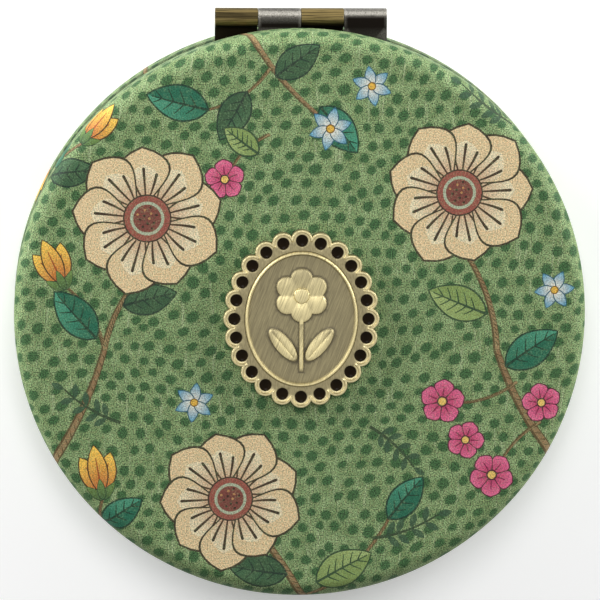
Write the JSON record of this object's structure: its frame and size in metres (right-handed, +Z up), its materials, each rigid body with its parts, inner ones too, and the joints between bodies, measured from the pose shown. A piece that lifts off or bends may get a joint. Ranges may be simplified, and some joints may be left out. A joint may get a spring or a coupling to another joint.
{
  "type": "compact mirror",
  "caption": "Round compact mirror: two padded leather-covered halves on a rolled brass hinge, each holding a glass mirror in a metal ring, with a scalloped oval badge on the lid.",
  "frame": {"origin": "centre of the base's outer face, where the closed compact rests", "axes": "+Z up through the closed compact, from the base to the lid; +Y towards the hinge; +X along the hinge pin"},
  "size_m": [0.07, 0.0723, 0.0138],
  "materials": {
    "printed_leather": "printed, satin, fine grain",
    "pad_foam": "closed-cell foam",
    "moulded_core": "moulded, fine texture",
    "antique_brass": "antiqued, streaky satin",
    "cast_brass": "antiqued, relieved and brushed",
    "mirror_glass": "silvered",
    "foam_tape": "matt",
    "nickel_magnet": "nickel plated",
    "rivet_steel": "bright drawn",
    "dark_enamel": "dark fill, satin"
  },
  "bodies": {
    "base": {"base_leather": "printed_leather", "base_pad": "pad_foam", "base_core": "moulded_core", "base_bezel": "antique_brass", "base_mirror": "mirror_glass", "base_mirror_tape": "foam_tape", "base_magnets": "nickel_magnet", "hinge_base_leaf": "antique_brass", "base_leaf_rivets": "rivet_steel", "hinge_pin": "rivet_steel"},
    "lid": {"lid_leather": "printed_leather", "lid_pad": "pad_foam", "lid_core": "moulded_core", "lid_bezel": "antique_brass", "lid_mirror": "mirror_glass", "lid_mirror_tape": "foam_tape", "lid_magnets": "nickel_magnet", "hinge_lid_leaf": "antique_brass", "lid_leaf_rivets": "rivet_steel", "badge_plate": "cast_brass", "badge_medallion": "cast_brass", "badge_enamel_dots": "dark_enamel", "badge_push_nuts": "rivet_steel"}
  },
  "joints": [
    {"name": "lid_hinge", "type": "hinge", "parent": "base", "child": "lid", "pos_m": [0, 0.0361, 0.006], "axis": [-1, 0, 0], "range_deg": [0, 180]}
  ]
}
